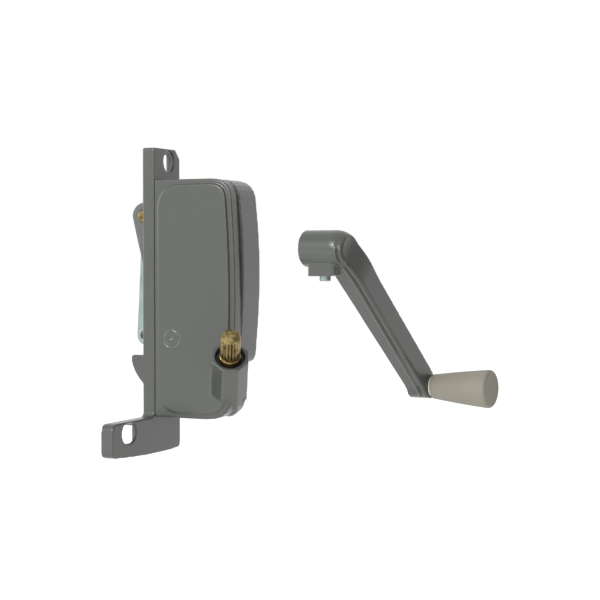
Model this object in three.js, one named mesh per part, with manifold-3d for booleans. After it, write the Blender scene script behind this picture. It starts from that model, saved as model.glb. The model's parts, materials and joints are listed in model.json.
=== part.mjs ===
// Awning window operator with its crank handle, in millimetres, +Z up.
// +X points into the room, -Y is the cover side, and the origin lies on the plate's back face,
// on its vertical centre line, at the height of the lower screw hole.
import * as THREE from 'three';
import { mergeVertices } from 'three/addons/utils/BufferGeometryUtils.js';
import Module from 'manifold-3d';

const wasm = await Module();
wasm.setup();

// Driving dimensions
const fit = { slide: 0.2, joint: 0.1, tooth: 0.35, mesh: 0.2, overcut: 1 };
const roundSegments = 32;
const beyond = 300;

const plate = { thickness: 6.3, width: 25.4, edgeStep: 0.8, corner: 3, edgeRound: 1 };
const topEar = {
  rise: 15.3, wall: 1.6, chamfer: 4, slotY: 2.2, slotDrop: 5.9, slotWidth: 9.5, slotHeight: 10.4,
};
const lowEar = {
  reach: 49.2, drop: 11.6, sag: 1.2, wall: 1.6, corner: 4, holeY: -34.8, holeWidth: 12.4, holeHeight: 9.4,
};
const earRim = 2.4;

const housing = { bottom: 5.4, top: 118.3, right: 47.4, crown: 1.8, wall: 2.2, lip: 1 };
const corner = { top: 11, bottom: 13 };
const cover = { depth: 8, lid: 1.4 };
const panel = { rise: 1.2, inset: 2.6, left: 8.4, radius: 12 };
const foot = { setBack: 5, shoulder: 31.4, radius: 8 };
const rearSlot = { near: 4.7, far: 7.9, low: 19, topMargin: 6.3 };
const hook = { reach: 6.6, top: 34.8, drop: 13.8, thickness: 3, nose: 2.4 };
const ringMark = { x: 15.8, z: 43.4, radius: 4.5, width: 0.7, depth: 0.4, dot: 0.9 };

// The stud crosses the cover's face plane just inside the housing's right edge and leans out of it.
const stud = {
  inset: 0.4, z: 27, heading: 29.3, rise: 42.8, radius: 4.7, length: 13.4,
  teeth: 20, toothDepth: 0.55, dome: 2.2,
};
const boss = { wall: 1.5, height: 13.6, root: 4 };
const bossTail = { inward: 8, outward: 14, left: 12.4, right: 7.6, over: 4, back: 6 };
const journal = { over: 0.25, proud: 0.8, neckDepth: 0.5, neckLength: 1, bevel: 0.5 };
const bushing = { wall: 1.6, gap: 0.35, length: 12 };
const sealThickness = 1.3;
const thrust = { gap: 0.5, flange: 1.5, washer: 0.8 };
const endJournal = { radius: 3, length: 5, bushWall: 1.4, bossWall: 1.8, cap: 2, bevel: 0.4 };

const worm = { pitchRadius: 4.6, rootDepth: 0.6, thread: 0.95, turns: 3.4, runout: 1 };
const gear = { teeth: 25, radius: 17, setBack: 8.2, width: 5, sweepMargin: 14, flank: 0.19 };
const lever = {
  width: 4, hubWall: 3.7, swing: 64.8, tipX: -2.2, tipDrop: 17.1, tipRadius: 6.6, root: 12, heel: 0.52,
};
const pivot = { pin: 3, bushWall: 1.4, washerRim: 3.2, washer: 0.8, bossWall: 2.6, depth: 1.3 };

const link = { length: 57.5, width: 8, endWall: 1.3, thickness: 2.4, lean: 2.3, hole: 2.6 };
const rivet = { shank: 2.4, headRim: 1.2, headHeight: 1.6, crown: 0.7, washer: 0.6, washerRim: 2 };
const eyelet = { wall: 0.7, flange: 0.6, flangeRim: 0.6 };
const screw = {
  shank: 1.5, headRim: 1.4, headHeight: 1.4, postWall: 1.6, bite: 1.6,
  slotWidth: 0.8, slotReach: 2, slotDepth: 0.8,
};
const screwAt = { left: 12, top: 7.3, corner: 9.4, side: 4.6, sideZ: 52, low: 6 };

const handle = { gap: 39.2, z: 85.4, yaw: -6, roll: 44, reach: 91.2 };
const hub = { wall: 3.2, length: 25, ease: 0.4, spare: 1.8 };
const arm = {
  slant: 9.2, depth: 13, footDepth: 10.6, width: 10.6, footRadius: 5.8, heel: 2, bead: 0.6, beadWidth: 2,
};
const pad = { start: 3.5, end: 14.5, width: 10, height: 4.1 };
const setScrew = { radius: 2.5, at: 9.5, proud: 2.2, socket: 1.3, bevel: 0.3, point: 1 };
const knob = { length: 30, small: 5.9, big: 9, edge: 1.6, play: 0.3, endWall: 7.5 };
const spindle = {
  radius: 2.6, collarRim: 0.2, head: 4.2, headHeight: 1.2, seat: 2, washer: 0.8, washerRadius: 4.8,
  nose: 1.4, collar: 2.1, groove: 1.5, tip: 0.6,
};

// Values worked out from them
const face = -plate.width / 2;
const back = plate.width / 2;
const parting = face + cover.depth;
const plateTop = housing.top + topEar.rise;
const footRight = housing.right - foot.setBack;
const gearY = face + gear.setBack;
const tipZ = housing.top - lever.tipDrop;
const earEnd = -lowEar.reach;
const floorY = back - housing.wall;
const lidY = face + panel.rise + cover.lid;
const rad = THREE.MathUtils.degToRad;

const leanY = -Math.cos(rad(stud.rise)) * Math.cos(rad(stud.heading));
const outward = new THREE.Vector3(
  Math.cos(rad(stud.rise)) * Math.sin(rad(stud.heading)), leanY, Math.sin(rad(stud.rise)));
const studOrigin = new THREE.Vector3(housing.right - stud.inset, face, stud.z);
const wormDepth = gear.setBack / -leanY;
const wormCentre = studOrigin.clone().addScaledVector(outward, -wormDepth);
const towardsGear = new THREE.Vector3(-outward.z, 0, outward.x).normalize();
const centreDistance = worm.pitchRadius + gear.radius;
const gearCentre = wormCentre.clone().addScaledVector(towardsGear, centreDistance);

const journalRadius = stud.radius + journal.over;
const bossBore = journalRadius + bushing.wall + bushing.gap;
const bossFlats = 2 * (bossBore + boss.wall);
const thrustRadius = bossBore - thrust.gap;
const endBushRadius = endJournal.radius + endJournal.bushWall;
const hubBore = stud.radius + hub.ease;
const hubRadius = hubBore + hub.wall;
const boreDepth = stud.length + journal.neckLength + journal.proud + hub.spare;

// The worm's lead follows from the gear's pitch and the angle at which the shaft crosses it.
const shaftLean = Math.asin(-leanY);
const gearPitch = 2 * Math.PI * gear.radius / gear.teeth;
const wormRound = 2 * Math.PI * worm.pitchRadius;
const leadAngle = Math.atan(
  gearPitch * Math.cos(shaftLean) / (wormRound - gearPitch * Math.sin(shaftLean)));
const wormLead = wormRound * Math.tan(leadAngle);
const helix = shaftLean - leadAngle;
const toothWidth = (wormLead * Math.cos(leadAngle) - 2 * worm.thread - 2 * fit.mesh) / Math.cos(helix);
const wormCore = worm.pitchRadius - worm.rootDepth;
const wormHalf = worm.turns * wormLead / 2;
const wormLow = -wormDepth - wormHalf - worm.runout;
const spaceLow = wormLow - fit.slide;
const endStart = spaceLow - 2 * fit.slide;
const flangeStart = -wormDepth + wormHalf + worm.thread + worm.runout;

// Solids from three.js geometry
function toSolid(geometry) {
  const source = geometry.index ? geometry.toNonIndexed() : geometry;
  const bare = source.clone();
  bare.deleteAttribute('normal');
  bare.deleteAttribute('uv');
  const merged = mergeVertices(bare, 1e-4);
  return new wasm.Manifold(new wasm.Mesh({
    numProp: 3,
    vertProperties: new Float32Array(merged.attributes.position.array),
    triVerts: new Uint32Array(merged.index.array),
  }));
}

function toGeometry(solid) {
  const mesh = solid.getMesh();
  const geometry = new THREE.BufferGeometry();
  geometry.setAttribute('position', new THREE.BufferAttribute(mesh.vertProperties, 3));
  geometry.setIndex(new THREE.BufferAttribute(mesh.triVerts, 1));
  geometry.computeVertexNormals();
  return geometry;
}

function box(x0, x1, y0, y1, z0, z1) {
  const geometry = new THREE.BoxGeometry(x1 - x0, y1 - y0, z1 - z0);
  geometry.translate((x0 + x1) / 2, (y0 + y1) / 2, (z0 + z1) / 2);
  return toSolid(geometry);
}

// A round bar between two points; the end radius may differ for a taper.
function rod(radius, from, to, segments = roundSegments, endRadius = radius) {
  const axis = to.clone().sub(from);
  const geometry = new THREE.CylinderGeometry(endRadius, radius, axis.length(), segments);
  const turn = new THREE.Quaternion();
  turn.setFromUnitVectors(new THREE.Vector3(0, 1, 0), axis.clone().normalize());
  geometry.applyQuaternion(turn);
  geometry.translate(...from.clone().add(to).divideScalar(2).toArray());
  return toSolid(geometry);
}

function rodY(radius, x, z, y0, y1, segments) {
  return rod(radius, new THREE.Vector3(x, y0, z), new THREE.Vector3(x, y1, z), segments);
}

function rodX(radius, x0, x1, z = 0, segments = roundSegments, endRadius = radius) {
  return rod(radius, new THREE.Vector3(x0, 0, z), new THREE.Vector3(x1, 0, z), segments, endRadius);
}

// A flat outline drawn in X and Z, given thickness along Y.
function slabY(shape, y0, y1, curveSegments = 6) {
  const geometry = new THREE.ExtrudeGeometry(shape, { depth: y1 - y0, bevelEnabled: false, curveSegments });
  geometry.rotateX(Math.PI / 2);
  geometry.translate(0, y1, 0);
  return toSolid(geometry);
}

// A flat outline drawn in Y and Z, given thickness along X.
function slabX(shape, x0, x1, curveSegments = 6) {
  const geometry = new THREE.ExtrudeGeometry(shape, { depth: x1 - x0, bevelEnabled: false, curveSegments });
  geometry.applyMatrix4(new THREE.Matrix4().makeBasis(
    new THREE.Vector3(0, 1, 0), new THREE.Vector3(0, 0, 1), new THREE.Vector3(1, 0, 0)));
  geometry.translate(x0, 0, 0);
  return toSolid(geometry);
}

// A profile of radius and height turned about the Z axis; it starts and ends on the axis.
function turned(points, segments = roundSegments) {
  const geometry = new THREE.LatheGeometry(points.map(([r, z]) => new THREE.Vector2(r, z)), segments);
  geometry.rotateX(Math.PI / 2);
  return toSolid(geometry);
}

// A ring about the Z axis; its profile closes on itself.
function ring(inner, outer, low, high, segments = roundSegments) {
  return turned([[inner, low], [outer, low], [outer, high], [inner, high], [inner, low]], segments);
}

function obround(centreA, centreB, width, height) {
  const shape = new THREE.Shape();
  const radius = Math.min(width, height) / 2;
  const alongA = width / 2 - radius;
  const alongB = height / 2 - radius;
  shape.moveTo(centreA - alongA - radius, centreB - alongB);
  shape.absarc(centreA - alongA, centreB - alongB, radius, Math.PI, 1.5 * Math.PI);
  shape.absarc(centreA + alongA, centreB - alongB, radius, 1.5 * Math.PI, 2 * Math.PI);
  shape.absarc(centreA + alongA, centreB + alongB, radius, 0, Math.PI / 2);
  shape.absarc(centreA - alongA, centreB + alongB, radius, Math.PI / 2, Math.PI);
  return shape;
}

// A solid made about the Z axis, moved onto the stud's axis with +Z outward.
const studMatrix = new THREE.Matrix4().makeBasis(
  towardsGear, outward.clone().cross(towardsGear), outward).setPosition(studOrigin);

function onStud(solid) {
  return toSolid(toGeometry(solid).applyMatrix4(studMatrix));
}

// Housing

// The housing's side outline, drawn in from its outer face by the inset.
function housingOutline(left, inset, grow = 0) {
  const right = housing.right + grow - inset;
  const low = housing.bottom + inset;
  const high = housing.top - inset;
  const middle = (low + high) / 2;
  const topRound = corner.top - inset;
  const lowRound = corner.bottom - inset;
  const shape = new THREE.Shape();
  shape.moveTo(left, low);
  shape.lineTo(right - lowRound, low);
  shape.quadraticCurveTo(right, low, right, low + lowRound);
  shape.quadraticCurveTo(right + 2 * housing.crown, middle, right, high - topRound);
  shape.quadraticCurveTo(right, high, right - topRound, high);
  shape.lineTo(left, high);
  return shape;
}

// The base's outline steps back under its shoulder to clear the stud's boss.
function baseOutline(left, inset) {
  const right = housing.right + housing.lip - inset;
  const low = housing.bottom + inset;
  const high = housing.top - inset;
  const shoulder = foot.shoulder + inset;
  const step = footRight - inset;
  const round = foot.radius - inset;
  const topRound = corner.top + housing.lip - inset;
  const shape = new THREE.Shape();
  shape.moveTo(left, low);
  shape.lineTo(step - round, low);
  shape.quadraticCurveTo(step, low, step, low + round);
  shape.lineTo(step, shoulder - round);
  shape.quadraticCurveTo(step, shoulder, right - round / 2, shoulder);
  shape.quadraticCurveTo(right, shoulder, right, shoulder + round);
  shape.quadraticCurveTo(right + 2 * housing.crown, (shoulder + high) / 2, right, high - topRound);
  shape.quadraticCurveTo(right, high, right - topRound, high);
  shape.lineTo(left, high);
  return shape;
}

function plateOutline() {
  const near = face + plate.edgeStep;
  const bottom = -lowEar.drop;
  const edge = plate.edgeRound;
  const shape = new THREE.Shape();
  shape.moveTo(earEnd, bottom + lowEar.corner);
  shape.quadraticCurveTo(earEnd, bottom + edge, earEnd + lowEar.corner, bottom + edge);
  shape.quadraticCurveTo(face, bottom - lowEar.sag, back - plate.corner, bottom);
  shape.quadraticCurveTo(back, bottom, back, bottom + plate.corner);
  shape.lineTo(back, plateTop - topEar.chamfer);
  shape.lineTo(back - topEar.chamfer, plateTop);
  shape.lineTo(near + edge, plateTop);
  shape.quadraticCurveTo(near, plateTop, near, plateTop - edge);
  shape.lineTo(near, housing.bottom + plate.corner);
  shape.quadraticCurveTo(near, housing.bottom, near - plate.corner, housing.bottom);
  shape.lineTo(earEnd + lowEar.corner, housing.bottom);
  shape.quadraticCurveTo(earEnd, housing.bottom, earEnd, housing.bottom - lowEar.corner);
  return shape;
}

function hookOutline() {
  const low = hook.top - hook.drop;
  const inner = plate.edgeRound - hook.reach;
  const shape = new THREE.Shape();
  shape.moveTo(fit.overcut, hook.top);
  shape.lineTo(inner, hook.top);
  shape.quadraticCurveTo(-hook.reach, hook.top, -hook.reach, hook.top - hook.nose);
  shape.quadraticCurveTo(inner, (hook.top + 1.5 * low) / 2.5, 0, low);
  shape.lineTo(fit.overcut, low);
  return shape;
}

// Screw places: clear of the lever, the gear and the shaft. The last is tucked in beside the plate.
const screwPost = screw.shank + fit.slide + screw.postWall;
const screwHead = screw.shank + screw.headRim;
const screwPlaces = [
  { x: screwAt.left, z: housing.top - screwAt.top },
  { x: housing.right - screwAt.corner, z: housing.top - screwAt.corner },
  { x: housing.right - screwAt.side, z: screwAt.sideZ },
  { x: plate.thickness + fit.joint + screwPost, z: housing.bottom + screwAt.low },
];

function octagonPrism(flats, low, high) {
  const radius = flats / 2 / Math.cos(Math.PI / 8);
  const geometry = new THREE.CylinderGeometry(radius, radius, high - low, 8);
  geometry.rotateX(Math.PI / 2);
  geometry.rotateZ(Math.PI / 8);
  geometry.translate(0, 0, (low + high) / 2);
  return geometry;
}

// The boss is turned so that one flat faces straight down.
const downFlat = new THREE.Vector3(0, 0, -1).applyMatrix4(studMatrix.clone().invert().setPosition(0, 0, 0));
const bossTurn = Math.atan2(downFlat.y, downFlat.x);

function bossPrism(low, high) {
  const geometry = octagonPrism(bossFlats, low, high);
  geometry.rotateZ(bossTurn);
  return toSolid(geometry.applyMatrix4(studMatrix));
}

function shaftSpace() {
  const high = boss.height + fit.overcut;
  return studBar(bossBore, spaceLow, high);
}

function rearOpening(to) {
  return box(-fit.overcut, to, gearY - rearSlot.near, gearY + rearSlot.far,
    rearSlot.low, housing.top - rearSlot.topMargin);
}

// A plain bar on the stud's axis
function studBar(radius, low, high) {
  return onStud(turned([[0, low], [radius, low], [radius, high], [0, high]]));
}

function makeBase() {
  const gearSpace = rodY(gearTip + fit.tooth + fit.slide, gearCentre.x, gearCentre.z,
    parting - fit.overcut, gearFar + fit.tooth, 48);
  const envelope = box(0, beyond, parting, back, housing.bottom, housing.top);
  let solid = slabX(plateOutline(), 0, plate.thickness);
  const shell = slabY(baseOutline(plate.thickness - fit.overcut, 0), parting, back);
  const tail = bossPrism(-wormDepth - bossTail.inward, -wormDepth + bossTail.outward).intersect(box(
    wormCentre.x - bossTail.left, footRight + bossTail.right, parting, back - bossTail.back,
    housing.bottom, foot.shoulder + bossTail.over));
  solid = solid.add(shell).add(tail);
  solid = solid.subtract(slabY(
    baseOutline(plate.thickness, housing.wall), parting - fit.overcut, floorY));
  solid = solid.add(slabY(hookOutline(), face + plate.edgeStep, face + plate.edgeStep + hook.thickness));
  const endLow = endStart - endJournal.length;
  const endBoss = studBar(endBushRadius + endJournal.bossWall, endLow - endJournal.cap, endStart);
  solid = solid.add(endBoss.intersect(envelope));
  for (const place of screwPlaces) {
    solid = solid.add(rodY(screwPost, place.x, place.z, parting, floorY + fit.overcut, 24));
  }
  solid = solid.add(rodY(pivotBoss, gearCentre.x, gearCentre.z, farWasherY, floorY + fit.overcut));
  solid = solid.subtract(rearOpening(plate.thickness + fit.overcut));
  solid = solid.subtract(gearSpace).subtract(shaftSpace());
  solid = solid.subtract(studBar(endBushRadius + fit.slide, endLow, endStart + endJournal.cap));
  solid = solid.subtract(rodY(
    pivot.pin + fit.slide, gearCentre.x, gearCentre.z, farWasherY - fit.overcut, pinEnd + fit.joint));
  for (const place of screwPlaces) {
    solid = solid.subtract(rodY(
      screw.shank + fit.slide, place.x, place.z, parting - fit.overcut, back + fit.overcut, 24));
    solid = solid.subtract(rodY(screwHead + fit.slide, place.x, place.z,
      back - screw.headHeight - fit.slide, back + fit.overcut, 24));
  }
  const slot = obround(topEar.slotY, plateTop - topEar.slotDrop, topEar.slotWidth, topEar.slotHeight);
  const hole = obround(lowEar.holeY, 0, lowEar.holeWidth, lowEar.holeHeight);
  solid = solid.subtract(slabX(slot, -fit.overcut, plate.thickness + fit.overcut));
  solid = solid.subtract(slabX(hole, -fit.overcut, plate.thickness + fit.overcut));
  solid = solid.subtract(box(-fit.overcut, plate.thickness - topEar.wall, face + plate.edgeStep + earRim,
    back - earRim, housing.top + earRim, plateTop - earRim));
  solid = solid.subtract(box(-fit.overcut, plate.thickness - lowEar.wall, earEnd + earRim,
    lowEar.holeY + lowEar.holeWidth, lowEar.sag - lowEar.drop + earRim, housing.bottom - earRim));
  return toGeometry(solid);
}

function makeCover() {
  const left = plate.thickness + fit.joint;
  const seam = parting - fit.joint;
  let solid = slabY(housingOutline(left, 0), face + panel.rise, seam);
  const panelShape = housingOutline(panel.left, panel.inset);
  solid = solid.add(slabY(panelShape, face, face + panel.rise + fit.overcut).intersect(
    slabY(panelRounding(), face - fit.overcut, seam)));
  solid = solid.add(bossPrism(-wormDepth - boss.root, boss.height).intersect(
    box(0, beyond, -beyond, seam, housing.bottom, beyond)));
  solid = solid.subtract(slabY(
    housingOutline(left + housing.wall, housing.wall), lidY, seam + fit.overcut));
  for (const place of screwPlaces) {
    solid = solid.add(rodY(screwPost, place.x, place.z, lidY - fit.overcut, seam, 24));
  }
  solid = solid.add(rodY(pivotBoss, gearCentre.x, gearCentre.z, lidY - fit.overcut, nearWasherY));
  solid = solid.subtract(rearOpening(left + housing.wall + fit.overcut));
  solid = solid.subtract(shaftSpace());
  solid = solid.subtract(rodY(
    pivot.pin + fit.slide, gearCentre.x, gearCentre.z, nearWasherY - pivot.depth, seam + fit.overcut));
  for (const place of screwPlaces) {
    solid = solid.subtract(rodY(screw.shank + fit.slide, place.x, place.z, lidY, seam + fit.overcut, 24));
  }
  const markDisc = (radius) => rodY(
    radius, ringMark.x, ringMark.z, face - fit.overcut, face + ringMark.depth);
  solid = solid.subtract(markDisc(ringMark.radius).subtract(markDisc(ringMark.radius - ringMark.width)));
  solid = solid.subtract(markDisc(ringMark.dot));
  return toGeometry(solid);
}

// Rounds the raised panel's two left corners.
function panelRounding() {
  const low = housing.bottom + panel.inset;
  const high = housing.top - panel.inset;
  const shape = new THREE.Shape();
  shape.moveTo(panel.left, low + panel.radius);
  shape.quadraticCurveTo(panel.left, low, panel.left + panel.radius, low);
  shape.lineTo(beyond, low);
  shape.lineTo(beyond, high);
  shape.lineTo(panel.left + panel.radius, high);
  shape.quadraticCurveTo(panel.left, high, panel.left, high - panel.radius);
  return shape;
}

// Lever, gear and pivot
const gearNear = gearY - gear.width / 2;
const gearFar = gearY + gear.width / 2;
const nearWasherY = gearNear - pivot.washer - 2 * fit.joint;
const farWasherY = gearFar + pivot.washer + 2 * fit.joint;
const pinEnd = floorY - 1 - fit.joint;
const pivotBoss = pivot.pin + pivot.bossWall;
const leverBore = pivot.pin + pivot.bushWall + 2 * fit.slide;
const wormAngle = Math.atan2(-towardsGear.z, -towardsGear.x);
const toothPitch = 2 * Math.PI / gear.teeth;
const gearTip = centreDistance - wormCore - fit.tooth;
const gearRoot = centreDistance - worm.pitchRadius - worm.thread - fit.tooth;

// The toothed sector, drawn about the pivot; teeth stand half a pitch off the mesh point.
function sectorOutline() {
  const first = wormAngle - rad(lever.swing + gear.sweepMargin);
  const last = wormAngle + rad(gear.sweepMargin);
  const shape = new THREE.Shape();
  shape.moveTo(0, 0);
  shape.lineTo(gearRoot * Math.cos(first), gearRoot * Math.sin(first));
  const lowTooth = Math.ceil((first - wormAngle) / toothPitch - 0.5) + 1;
  const highTooth = Math.floor((last - wormAngle) / toothPitch - 0.5);
  for (let index = lowTooth - 1; index < highTooth; index += 1) {
    const middle = wormAngle + (index + 0.5) * toothPitch;
    const halfRoot = toothWidth / 2 * (1 + gear.flank) / gearRoot;
    const halfTip = toothWidth / 2 * (1 - gear.flank) / gearTip;
    for (const [radius, angle] of [[gearRoot, middle - halfRoot], [gearTip, middle - halfTip],
      [gearTip, middle + halfTip], [gearRoot, middle + halfRoot]]) {
      shape.lineTo(radius * Math.cos(angle), radius * Math.sin(angle));
    }
    const valley = middle + toothPitch / 2;
    shape.lineTo(gearRoot * Math.cos(valley), gearRoot * Math.sin(valley));
  }
  shape.lineTo(gearRoot * Math.cos(last), gearRoot * Math.sin(last));
  return shape;
}

// The teeth lean to follow the worm's thread, which crosses the gear at an angle.
function makeSector() {
  const twist = Math.tan(helix) / gear.radius;
  const geometry = new THREE.ExtrudeGeometry(
    sectorOutline(), { depth: gear.width, steps: 4, bevelEnabled: false });
  geometry.translate(0, 0, -gear.width / 2);
  const position = geometry.attributes.position;
  for (let index = 0; index < position.count; index += 1) {
    const turn = -position.getZ(index) * twist;
    const x = position.getX(index);
    const y = position.getY(index);
    position.setX(index, x * Math.cos(turn) - y * Math.sin(turn));
    position.setY(index, x * Math.sin(turn) + y * Math.cos(turn));
  }
  geometry.rotateX(Math.PI / 2);
  geometry.translate(gearCentre.x, gearY, gearCentre.z);
  return toSolid(geometry);
}

function leverOutline() {
  const tip = new THREE.Vector2(lever.tipX, tipZ);
  const root = new THREE.Vector2(gearCentre.x, gearCentre.z);
  const along = tip.clone().sub(root).normalize();
  const side = new THREE.Vector2(-along.y, along.x);
  const rearRoot = root.clone().addScaledVector(side, lever.root / 2);
  const frontRoot = root.clone().addScaledVector(side, -lever.root / 2);
  const frontTip = tip.clone().addScaledVector(side, -lever.tipRadius * 0.9);
  const heel = root.clone().lerp(tip, lever.heel).addScaledVector(side, lever.root * 0.92);
  const shape = new THREE.Shape();
  shape.moveTo(rearRoot.x, rearRoot.y);
  shape.lineTo(frontRoot.x, frontRoot.y);
  shape.lineTo(frontTip.x, frontTip.y);
  shape.absarc(tip.x, tip.y, lever.tipRadius, along.angle() - Math.PI / 2, Math.PI);
  const rise = rearRoot.clone().addScaledVector(along, lever.root);
  shape.quadraticCurveTo(heel.x, heel.y, rise.x, rise.y);
  return shape;
}

function makeLever() {
  const half = lever.width / 2;
  let solid = slabY(leverOutline(), gearY - half, gearY + half, 10);
  solid = solid.add(makeSector());
  solid = solid.add(rodY(leverBore + lever.hubWall, gearCentre.x, gearCentre.z, gearNear, gearFar));
  solid = solid.subtract(rodY(
    leverBore, gearCentre.x, gearCentre.z, gearNear - fit.overcut, gearFar + fit.overcut));
  solid = solid.subtract(rodY(
    rivet.shank + fit.slide, lever.tipX, tipZ, gearNear - fit.overcut, gearFar + fit.overcut, 24));
  return toGeometry(solid);
}

// A ring whose axis runs along Y through a point in X and Z
function ringY(inner, outer, x, z, y0, y1, segments = roundSegments) {
  const solid = rodY(outer, x, z, y0, y1, segments);
  return toGeometry(solid.subtract(rodY(inner, x, z, y0 - fit.overcut, y1 + fit.overcut, segments)));
}

function makePivotPin() {
  return toGeometry(rodY(pivot.pin, gearCentre.x, gearCentre.z,
    nearWasherY - pivot.depth + fit.joint, pinEnd));
}

// Link, hung on the lever's tip
const leverFar = gearY + lever.width / 2;
const leverNear = gearY - lever.width / 2;
const washerY = leverFar + fit.joint;
const linkY = washerY + rivet.washer + fit.joint;
const linkFar = linkY + link.thickness;
const linkEnd = new THREE.Vector2(
  lever.tipX - link.length * Math.sin(rad(link.lean)), tipZ - link.length * Math.cos(rad(link.lean)));
const eyeletRadius = link.hole + eyelet.wall;
const rivetHead = rivet.shank + rivet.headRim;

function makeLinkRivet() {
  const near = leverNear - fit.joint;
  const far = linkFar + fit.joint;
  const half = rivet.headHeight / 2;
  let solid = rodY(rivet.shank, lever.tipX, tipZ, near - half, far + half, 24);
  const headAt = (y, out) => rod(rivetHead, new THREE.Vector3(lever.tipX, y, tipZ),
    new THREE.Vector3(lever.tipX, y + out * rivet.headHeight, tipZ), 24, rivetHead * rivet.crown);
  solid = solid.add(headAt(near, -1)).add(headAt(far, 1));
  return toGeometry(solid);
}

function makeLink() {
  const shape = new THREE.Shape();
  const down = -Math.PI / 2 - rad(link.lean);
  shape.absarc(lever.tipX, tipZ, link.width / 2, down + Math.PI / 2, down + 1.5 * Math.PI);
  const endRadius = eyeletRadius + fit.slide + link.endWall;
  shape.absarc(linkEnd.x, linkEnd.y, endRadius, down - Math.PI / 2, down + Math.PI / 2);
  let solid = slabY(shape, linkY, linkFar, 10);
  const low = linkY - fit.overcut;
  const high = linkFar + fit.overcut;
  solid = solid.subtract(rodY(rivet.shank + fit.slide, lever.tipX, tipZ, low, high, 24));
  solid = solid.subtract(rodY(eyeletRadius + fit.slide, linkEnd.x, linkEnd.y, low, high, 24));
  return toGeometry(solid);
}

function makeEyelet() {
  const { x, y: z } = linkEnd;
  const start = linkY - fit.joint;
  const end = linkFar + fit.joint;
  const flangeRadius = eyeletRadius + eyelet.flangeRim;
  let solid = rodY(eyeletRadius, x, z, start - eyelet.flange / 2, end + eyelet.flange / 2, 24);
  solid = solid.add(rodY(flangeRadius, x, z, start - eyelet.flange, start, 24));
  solid = solid.add(rodY(flangeRadius, x, z, end, end + eyelet.flange, 24));
  const cut = eyelet.flange + fit.overcut;
  return toGeometry(solid.subtract(rodY(link.hole, x, z, start - cut, end + cut, 24)));
}

// Stud shaft, in its own frame with +Z outward
class ThreadLine extends THREE.Curve {
  getPoint(t, target = new THREE.Vector3()) {
    const angle = (t - 0.5) * worm.turns * 2 * Math.PI;
    const height = wormLead * angle / (2 * Math.PI) - wormDepth;
    return target.set(worm.pitchRadius * Math.cos(angle), worm.pitchRadius * Math.sin(angle), height);
  }
}

function makeThread() {
  const section = new THREE.Shape();
  section.absarc(0, 0, worm.thread, 0, 2 * Math.PI);
  return toSolid(new THREE.ExtrudeGeometry(section, {
    steps: Math.round(worm.turns * 18),
    extrudePath: new ThreadLine(),
    curveSegments: 4,
  }));
}

function splineOutline() {
  const shape = new THREE.Shape();
  for (let index = 0; index < stud.teeth; index += 1) {
    const middle = index * 2 * Math.PI / stud.teeth;
    const quarter = Math.PI / stud.teeth / 2;
    const root = stud.radius - stud.toothDepth;
    for (const [radius, angle] of [[root, middle - 2 * quarter], [stud.radius, middle - 0.8 * quarter],
      [stud.radius, middle + 0.8 * quarter]]) {
      const x = radius * Math.cos(angle);
      const y = radius * Math.sin(angle);
      if (index === 0 && shape.curves.length === 0 && radius === root) {
        shape.moveTo(x, y);
      } else {
        shape.lineTo(x, y);
      }
    }
  }
  return shape;
}

const neckStart = boss.height + journal.proud;
const splineStart = neckStart + journal.neckLength;
const studTip = splineStart + stud.length;

function makeWormShaft() {
  const flangeEnd = flangeStart + thrust.flange;
  const endLow = endStart - endJournal.length + endJournal.bevel;
  const neck = stud.radius - journal.neckDepth;
  const collar = splineStart + journal.bevel;
  let solid = turned([
    [0, endLow], [endJournal.radius - endJournal.bevel, endLow],
    [endJournal.radius, endLow + endJournal.bevel], [endJournal.radius, wormLow],
    [wormCore, wormLow], [wormCore, flangeStart], [thrustRadius, flangeStart],
    [thrustRadius, flangeEnd], [journalRadius, flangeEnd], [journalRadius, neckStart - journal.bevel],
    [journalRadius - journal.bevel, neckStart], [neck, neckStart], [neck, collar], [0, collar]]);
  const teeth = new THREE.ExtrudeGeometry(
    splineOutline(), { depth: stud.length, bevelEnabled: false });
  teeth.translate(0, 0, splineStart);
  const domeCut = turned([
    [0, splineStart - 1], [stud.radius + 1, splineStart - 1], [stud.radius + 1, studTip - stud.dome],
    [stud.radius, studTip - stud.dome], [stud.radius * 0.86, studTip - stud.dome * 0.4],
    [stud.radius * 0.45, studTip - stud.dome * 0.06], [0, studTip]], 40);
  solid = solid.add(toSolid(teeth).intersect(domeCut)).add(makeThread());
  return toGeometry(solid);
}

const bushTop = flangeStart + thrust.flange + thrust.washer + 2 * fit.slide;

function makeBushing() {
  return toGeometry(ring(journalRadius + fit.slide, journalRadius + bushing.wall,
    bushTop, bushTop + bushing.length));
}

function makeSeal() {
  const start = bushTop + bushing.length + fit.slide;
  return toGeometry(ring(journalRadius + fit.slide, bossBore - fit.slide, start, start + sealThickness));
}

function makeThrustWasher() {
  const start = flangeStart + thrust.flange + fit.slide;
  return toGeometry(ring(journalRadius + fit.slide, thrustRadius, start, start + thrust.washer));
}

function makeEndBushing() {
  const low = endStart - endJournal.length + endJournal.bevel;
  return toGeometry(ring(endJournal.radius + fit.slide, endBushRadius, low, endStart));
}

// Cover screws, driven in from the base's far side
function makeScrew({ x, z }) {
  const headLow = back - screw.headHeight;
  const half = screw.slotWidth / 2;
  const reach = screw.slotReach;
  const slotLow = back - screw.slotDepth;
  const slotHigh = back + fit.overcut;
  let solid = rodY(screw.shank, x, z, parting - screw.bite, headLow + fit.slide, 16);
  solid = solid.add(rodY(screwHead, x, z, headLow, back, 24));
  solid = solid.subtract(box(x - reach, x + reach, slotLow, slotHigh, z - half, z + half));
  solid = solid.subtract(box(x - half, x + half, slotLow, slotHigh, z - reach, z + reach));
  return toGeometry(solid);
}

// Crank handle, with its bore along +X and its arm down -Z
const armStart = hub.length - arm.depth;
const armLow = armStart + arm.slant;
const armFace = armLow + arm.footDepth;
const padDrop = hubRadius + pad.height;

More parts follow.
